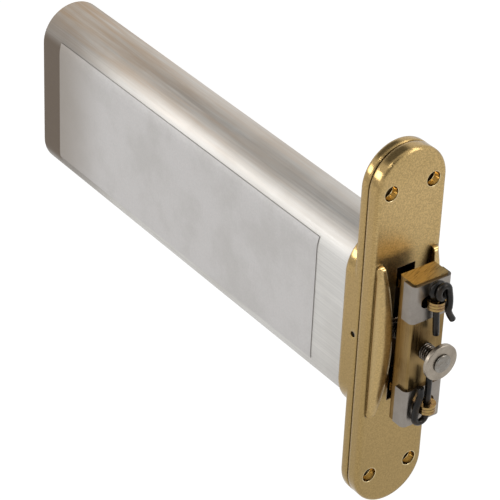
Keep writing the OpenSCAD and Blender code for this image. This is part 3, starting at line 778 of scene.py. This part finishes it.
@dataclass
class Plates(SubAssembly):
    """The face plate on the door, the anchor plate on the frame and the pin between them."""

    def finishes(self) -> dict[str, Finish]:
        """Names the finish of each CAD node that is kept."""
        # The lock pin's black wire finish is painted shade: it shows as dark as the hole that it sits in.
        return {"face_plate": BRASS, "anchor_plate": BRASS, "lock_pin": WIRE}


@dataclass
class Body(SubAssembly):
    """The tube in the door, its far plug and the film on its side."""

    def finishes(self) -> dict[str, Finish]:
        """Names the finish of each CAD node that is kept."""
        return {"body_tube": TUBE, "label_film": FILM, "end_plug": NYLON}


@dataclass
class Adjuster(SubAssembly):
    """The block that draws on the chains, with its threaded screw and turning disc.

    The head's edge is given as places behind its front and in from its rim. Of each half pitch of thread,
    the share called flat is level at the root, and as much at the crest.
    """

    screw_r: float = 2.975
    depth: float = 0.5
    pitch: float = 1.0
    flat: float = 1 / 6
    front: float = -31.35
    head_r: float = 3.3
    head_back: float = -30.53
    head_edge: tuple[Pair, ...] = ((0.0, 0.5), (0.06, 0.25), (0.2, 0.08), (0.4, 0.0))
    start: float = -27.7
    shank: float = -6.7
    shoulder: float = 0.01
    point_r: float = 2.0
    point_edge: float = 0.2
    tip: float = -5.4
    sides: int = 72
    steps: int = 10

    def finishes(self) -> dict[str, Finish]:
        """Names the finish of each CAD node that is kept."""
        return {"adjuster_block": BAR, "adjuster_disc": NICKEL}

    def thread(self, y: float, turn: float) -> float:
        """Gives the screw's radius at one place on its thread.

        Args:
            y: place along the screw, in mm.
            turn: place round the screw, from 0 to 1.
        Returns:
            The radius, in mm.
        """
        phase = (y / self.pitch - turn) % 1.0
        flank = (abs(2 * phase - 1) - self.flat) / (1 - 2 * self.flat)
        fade = min(1.0, (y - self.start) / self.pitch, (self.shank - y) / self.pitch)
        return self.screw_r - self.depth * max(fade, 0.0) * (1 - min(max(flank, 0.0), 1.0))

    def build(self) -> None:
        """Makes the screw with its riveted end, and its thread as one continuous groove."""
        count = round((self.shank - self.start) / self.pitch * self.steps)
        threaded = [self.start + (self.shank - self.start) * i / count for i in range(count + 1)]
        rows: list[tuple[float, float | None]] = [
            *((self.front + behind, self.head_r - inset) for behind, inset in self.head_edge),
            (self.head_back, self.head_r), (self.head_back, self.screw_r), *((y, None) for y in threaded),
            (self.shank + self.shoulder, self.point_r), (self.tip - self.point_edge, self.point_r),
            (self.tip, self.point_r - self.point_edge)]
        rings = []
        for y, plain in rows:
            ring = []
            for turn in (k / self.sides for k in range(self.sides)):
                radius = self.thread(y, turn) if plain is None else plain
                angle = -2 * math.pi * turn
                ring.append(Vector((radius * math.cos(angle), y, radius * math.sin(angle))))
            rings.append(ring)
        self.piece("threaded_screw", self.skin(rings), SCREW, "adjuster", "screw_steel", "adjuster_screw")


@dataclass
class SaddleClips(SubAssembly):
    """The bent sheets round the block's ends."""

    def finishes(self) -> dict[str, Finish]:
        """Names the finish of each CAD node that is kept."""
        return {"upper_saddle_clip": ZINC, "lower_saddle_clip": ZINC}


@dataclass
class WireClips(SubAssembly):
    """The two bent wires that keep the chains in the saddle clips.

    Points of a wire are its distance across from the straight leg and its distance past the eye.
    """

    wire_r: float = 1.15
    sides: int = 20
    leg: float = 13.3
    leg_parts: int = 8
    turn_r: float = 2.45
    turn_parts: int = 24
    eye_y: float = -25.23
    lobe_z: float = 20.75
    lower_stand: float = 3.0
    upper_lean_deg: float = 5.0
    neck: tuple[Pair, ...] = ((0.0, -1.2), (-0.6, -2.5), (-1.35, -3.7))
    neck_parts: int = 6
    rear_turn: Pair = (0.4, -4.8)
    front_turn: Pair = (1.3, -5.15)
    coil_r: Pair = (2.1, 2.35)
    coil_turns: float = 1.5
    coil_parts: int = 48
    forward_from: float = 0.4
    forward_turns: float = 0.5
    upper_bow: tuple[Pair, ...] = (
        (3.7, -2.4), (3.75, -0.2), (3.55, 1.8), (3.2, 3.2), (3.85, 5.3), (5.05, 7.7))
    lower_bow: tuple[Pair, ...] = (
        (4.75, -1.2), (4.5, 1.2), (3.75, 3.4), (3.15, 5.2), (3.05, 6.8), (3.45, 9.0))
    bow_parts: int = 8

    def curve(self, points: list[Vector], parts: int) -> list[Vector]:
        """Runs a smooth curve through points.

        Args:
            points: the points to pass.
            parts: parts between two points.
        Returns:
            The curve's points.
        """
        run = []
        for i in range(len(points) - 1):
            a, b, c, d = (points[min(max(j, 0), len(points) - 1)] for j in (i - 1, i, i + 1, i + 2))
            for t in (k / parts for k in range(parts)):
                run.append(0.5 * (2 * b + (c - a) * t + (2 * a - 5 * b + 4 * c - d) * t ** 2
                                  + (3 * b - 3 * c + d - a) * t ** 3))
        return [*run, points[-1]]

    def half_turn(self) -> list[Vector]:
        """Lays out the lower wire's bend, from the straight leg on."""
        angles = [math.pi * (1 - k / self.turn_parts) for k in range(self.turn_parts + 1)]
        return [Vector((self.turn_r * (1 + math.cos(a)), -self.lower_stand - self.turn_r * math.sin(a), 0))
                for a in angles]

    def coil(self) -> list[Vector]:
        """Lays out the upper wire's neck and its coil of a turn and a half, which steps forward once.

        Returns:
            Points across from the straight leg, past the eye, and forward.
        """
        rear, front = Vector((*self.rear_turn, 0)), Vector((*self.front_turn, 2 * self.wire_r))
        across, past = self.coil_r
        turns = []
        for turn in (k / self.coil_parts for k in range(round(self.coil_turns * self.coil_parts) + 1)):
            angle = math.pi * (1 - 2 * turn)
            step = min(max((turn - self.forward_from) / self.forward_turns, 0), 1)
            middle = rear.lerp(front, min(turn, 1))
            middle.z = front.z * step * step * (3 - 2 * step)
            turns.append(middle + Vector((across * math.cos(angle), -past * math.sin(angle), 0)))
        neck = [Vector((*p, 0)) for p in self.neck]
        return self.curve(neck + turns[:1], self.neck_parts)[:-1] + turns

    def wire(self, side: int, loop: list[Vector], lean_deg: float, bow: tuple[Pair, ...]) -> list[Vector]:
        """Lays out one wire: straight leg, loop and bowed leg.

        Args:
            side: 1 for the upper clip, -1 for the lower one.
            loop: points of the loop: across from the straight leg, past the eye, and forward.
            lean_deg: lean of the whole clip.
            bow: points of the bowed leg.
        Returns:
            Points along the wire's middle.
        """
        parts = self.leg_parts
        leg = [Vector((0, self.leg + (loop[0].y - self.leg) * k / parts, 0)) for k in range(parts)]
        outer = self.curve([loop[-1]] + [Vector((*p, loop[-1].z)) for p in bow], self.bow_parts)
        lean = math.radians(lean_deg)
        return [Vector((side * (p.x * math.cos(lean) + p.y * math.sin(lean)), self.eye_y - p.z,
                        side * (self.lobe_z - p.y * math.cos(lean) + p.x * math.sin(lean))))
                for p in leg + loop + outer[1:]]

    def build(self) -> None:
        """Makes both wires with round sections and domed ends."""
        clips = (("upper", 1, self.coil(), self.upper_lean_deg, self.upper_bow),
                 ("lower", -1, self.half_turn(), 0.0, self.lower_bow))
        for name, side, loop, lean_deg, bow in clips:
            path = self.wire(side, loop, lean_deg, bow)
            rings = self.sweep(path, [Vector((0, 1, 0))] * len(path), self.wire_r, self.sides)
            self.piece(f"{name}_bent_wire", self.skin(rings), WIRE, "pull_train", "black_spring_steel",
                       f"{name}_r_clip")


@dataclass
class Chains(SubAssembly):
    """The leaf chains, their rivets and the rods that they pull."""

    def finishes(self) -> dict[str, Finish]:
        """Names the finish of each CAD node that is kept.

        Returns:
            The finishes by CAD node.
        """
        sides = ("upper", "lower")
        leaves = [f"{side}_chain_{row}_leaves" for side in sides for row in ("outer", "inner")]
        turned = [f"{side}_{part}" for part in ("chain_pins", "pull_rod") for side in sides]
        return dict.fromkeys(leaves, LEAF) | dict.fromkeys([*turned, "crosshead", "rod_nuts"], STEEL)


@dataclass
class Springs(SubAssembly):
    """The two coil springs inside the tube, with their seats."""

    wire_r: float = 1.3
    sides: int = 10
    coil_r: float = 8.7
    lobe_z: float = 20.75
    front: float = 15.9
    back: float = 166.1
    turns: int = 22
    front_turns: int = 16
    steps: int = 24
    close_pitch: float = 3.1
    seat: float = 0.03
    pull: float = 54.0

    def finishes(self) -> dict[str, Finish]:
        """Names the finish of each CAD node that is kept."""
        return {"spring_washers": STEEL, "spring_cups": STEEL}

    def build(self) -> None:
        """Makes both springs in two parts: the front turns, on the closer's body, and the rest, on no body.
        """
        first = self.front + self.wire_r + self.seat
        last = self.back - self.wire_r - self.seat
        open_pitch = (last - first - 2 * self.close_pitch) / (self.turns - 2)
        for name, side in (("upper", 1), ("lower", -1)):
            path, normals = [], []
            for turn in (k / self.steps for k in range(self.turns * self.steps + 1)):
                y = first + self.close_pitch * (min(turn, 1) + max(turn - self.turns + 1, 0))
                y += open_pitch * min(max(turn - 1, 0), self.turns - 2)
                out = Vector((math.cos(2 * math.pi * turn), 0, math.sin(2 * math.pi * turn)))
                path.append(out * self.coil_r + Vector((0, y, side * self.lobe_z)))
                normals.append(out)
            cut = self.front_turns * self.steps
            wire = self.skin(self.sweep(path[:cut + 1], normals[:cut + 1], self.wire_r, self.sides))
            made = self.piece(f"{name}_coil", wire, COIL, "closer_body", "spring_steel", f"{name}_spring")
            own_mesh(made)
            wire = self.skin(self.sweep(path[cut:], normals[cut:], self.wire_r, self.sides))
            made = self.piece(f"{name}_coil_end", wire, COIL, None, "spring_steel", f"{name}_spring")
            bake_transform(made)


@dataclass
class Damper(SubAssembly):
    """The oil damper between the springs."""

    def finishes(self) -> dict[str, Finish]:
        """Names the finish of each CAD node that is kept.

        Returns:
            The finishes by CAD node.
        """
        turned = ("damper_cylinder", "damper_front_plug", "gland_circlip", "damper_rod", "damper_rod_nut",
                  "damper_piston", "valve_stop_ring", "valve_disc")
        seals = ("front_plug_seal", "rod_seal", "piston_seal")
        return dict.fromkeys(turned, STEEL) | dict.fromkeys(seals, RUBBER) | {"damper_gland": BRONZE}


@dataclass(frozen=True)
class Softbox:
    """A soft lamp: its direction from the object, its size, how bright its face looks and how far it is.

    Its lengths are metres.
    """

    name: str
    toward: Triple
    size: Pair
    radiance: float
    distance: float = 1.4

    def build(self) -> None:
        """Adds the lamp to the scene."""
        data = bpy.data.lights.new(self.name, "AREA")
        data.shape = "RECTANGLE"
        data.size, data.size_y = self.size
        data.energy = LAMP_WATTS * self.size[0] * self.size[1] * self.radiance
        lamp = bpy.data.objects.new(self.name, data)
        lamp.location = Vector(self.toward).normalized() * self.distance
        lamp.rotation_mode = "QUATERNION"
        lamp.rotation_quaternion = Vector(self.toward).to_track_quat("Z", "Y")
        lamp.visible_camera = False
        bpy.context.scene.collection.objects.link(lamp)


@dataclass
class Studio:
    """Floor, world, lamps and the camera that stands where the photograph was taken.

    The world dims towards two sides, each given by its middle and by the cosine where the dimming starts.
    """

    azimuth_deg: float = -37.555
    elevation_deg: float = 33.159
    roll_deg: float = 2.561
    focal_px: float = 2485.7
    image_px: float = 500.0
    sensor: float = 36.0
    clip_m: Pair = (0.01, 100.0)
    place: Triple = (-451.84, -513.31, 470.63)
    floor_drop: float = 180.0
    floor_side: float = 30000.0
    floor_colour: str = "#d8d8d8"
    floor_seen: float = 0.6
    floor_mirrored: float = 0.36
    sky_mirrored: float = 0.95
    sky_plain: float = 0.5
    dimmed: float = 0.2
    dim_core: float = 0.95
    dims: tuple[tuple[Triple, float], ...] = (((0.0, 0.66, 0.75), 0.8), ((-0.45, -0.62, 0.64), 0.75))
    lamps: tuple[Softbox, ...] = (
        Softbox("front_right_lamp", (0.55, -0.65, 0.53), (0.5, 0.5), 3.4),
        Softbox("left_back_lamp", (-0.69, 0.66, 0.26), (0.6, 0.34), 3.4),
        Softbox("upper_left_lamp", (-0.57, 0.05, 0.81), (0.28, 0.28), 4.5),
        Softbox("upper_right_lamp", (0.55, -0.19, 0.82), (0.25, 0.25), 3.5),
    )

    def camera(self) -> None:
        """Adds the camera at the photograph's viewing angle."""
        turn, lift, roll = (math.radians(a) for a in (self.azimuth_deg, self.elevation_deg, self.roll_deg))
        back = Vector((math.sin(turn) * math.cos(lift), -math.cos(turn) * math.cos(lift), math.sin(lift)))
        right = (-back).cross(Vector((0, 0, 1))).normalized()
        up = right.cross(-back)
        across = math.cos(roll) * right + math.sin(roll) * up
        upright = math.cos(roll) * up - math.sin(roll) * right
        data = bpy.data.cameras.new("photo_camera")
        data.sensor_width = self.sensor
        data.lens = self.focal_px / self.image_px * self.sensor
        data.clip_start, data.clip_end = self.clip_m
        camera = bpy.data.objects.new("photo_camera", data)
        pose = Matrix((across, upright, back)).transposed().to_4x4()
        pose.translation = Vector(self.place) * MM
        camera.matrix_world = pose
        bpy.context.scene.collection.objects.link(camera)
        bpy.context.scene.camera = camera

    def rays(self, tree: Tree) -> tuple[Socket, Socket]:
        """Tells the camera's rays and the rays of reflections from the rest.

        Args:
            tree: the node tree that asks.
        Returns:
            1 for the camera's rays, and 1 for the rays of reflections and of clear things.
        """
        path = add_node(tree, "LightPath").outputs
        mirrored = add_node(tree, "Math", {"operation": "MAXIMUM"},
                            {0: path["Is Glossy Ray"], 1: path["Is Transmission Ray"]})
        return path["Is Camera Ray"], mirrored.outputs[0]

    def floor(self, low_z: float) -> None:
        """Adds the pale floor, which shows white to the camera and keeps the object's shadow.

        Args:
            low_z: the object's lowest point, in metres.
        """
        half = self.floor_side * MM / 2
        z = low_z - self.floor_drop * MM
        mesh = bpy.data.meshes.new("floor")
        mesh.from_pydata([(-half, -half, z), (half, -half, z), (half, half, z), (-half, half, z)], [],
                         [(0, 1, 2, 3)])
        material = bpy.data.materials.new("pale_floor")
        material.use_nodes = True
        tree = material.node_tree
        tree.nodes.clear()
        direct, mirrored = self.rays(tree)
        matt = add_node(tree, "BsdfDiffuse", {"Color": linear(self.floor_colour)})
        seen = add_node(tree, "Math", {"operation": "MULTIPLY", 1: self.floor_seen}, {0: direct})
        lift = add_node(tree, "Math", {"operation": "MULTIPLY_ADD", 1: self.floor_mirrored},
                        {0: mirrored, 2: seen.outputs[0]})
        glow = add_node(tree, "Emission", {}, {"Strength": lift.outputs[0]})
        both = add_node(tree, "AddShader", {}, {0: matt.outputs[0], 1: glow.outputs[0]})
        add_node(tree, "OutputMaterial", {}, {"Surface": both.outputs[0]})
        mesh.materials.append(material)
        floor = bpy.data.objects.new("floor", mesh)
        bpy.context.scene.collection.objects.link(floor)
        floor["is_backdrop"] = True

    def world(self) -> None:
        """Sets the world: white to the camera, grey as plain light, bright in mirrors save on two sides."""
        world = bpy.data.worlds.new("studio_world")
        world.use_nodes = True
        tree = world.node_tree
        tree.nodes.clear()
        direct, mirrored = self.rays(tree)
        where = add_node(tree, "TexCoord").outputs["Generated"]
        shades = []
        for side, edge in self.dims:
            toward = tuple(Vector(side).normalized())
            dot = add_node(tree, "VectorMath", {"operation": "DOT_PRODUCT", 1: toward}, {0: where})
            levels = {"From Min": edge, "From Max": self.dim_core, "To Min": self.sky_mirrored,
                      "To Max": self.dimmed}
            shades.append(add_node(tree, "MapRange", {"interpolation_type": "SMOOTHSTEP"} | levels,
                                   {"Value": dot.outputs["Value"]}).outputs[0])
        shade = add_node(tree, "Math", {"operation": "MINIMUM"}, dict(enumerate(shades)))
        plain = add_node(tree, "Mix", {"data_type": "FLOAT", "A": self.sky_plain},
                         {"Factor": mirrored, "B": shade.outputs[0]})
        seen = add_node(tree, "Math", {"operation": "MAXIMUM"}, {0: plain.outputs["Result"], 1: direct})
        sky = add_node(tree, "Background", {"Color": linear("#ffffff")}, {"Strength": seen.outputs[0]})
        add_node(tree, "OutputWorld", {}, {"Surface": sky.outputs[0]})
        bpy.context.scene.world = world

    def build(self, low_z: float) -> None:
        """Builds the whole studio.

        Args:
            low_z: the object's lowest point, in metres.
        """
        self.camera()
        self.floor(low_z)
        self.world()
        for lamp in self.lamps:
            lamp.build()
        bpy.context.scene.view_settings.view_transform = "Standard"


def main() -> None:
    """Builds the studio and every group of pieces."""
    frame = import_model()
    low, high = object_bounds()
    Studio().build(low.z)
    groups = (Plates(), Body(), Adjuster(), SaddleClips(), WireClips(), Chains(), Springs(), Damper())
    for group in groups:
        group.dress(frame["nodes"])
        group.build()


if __name__ == "__main__":
    logging.basicConfig(level=logging.INFO)
    main()
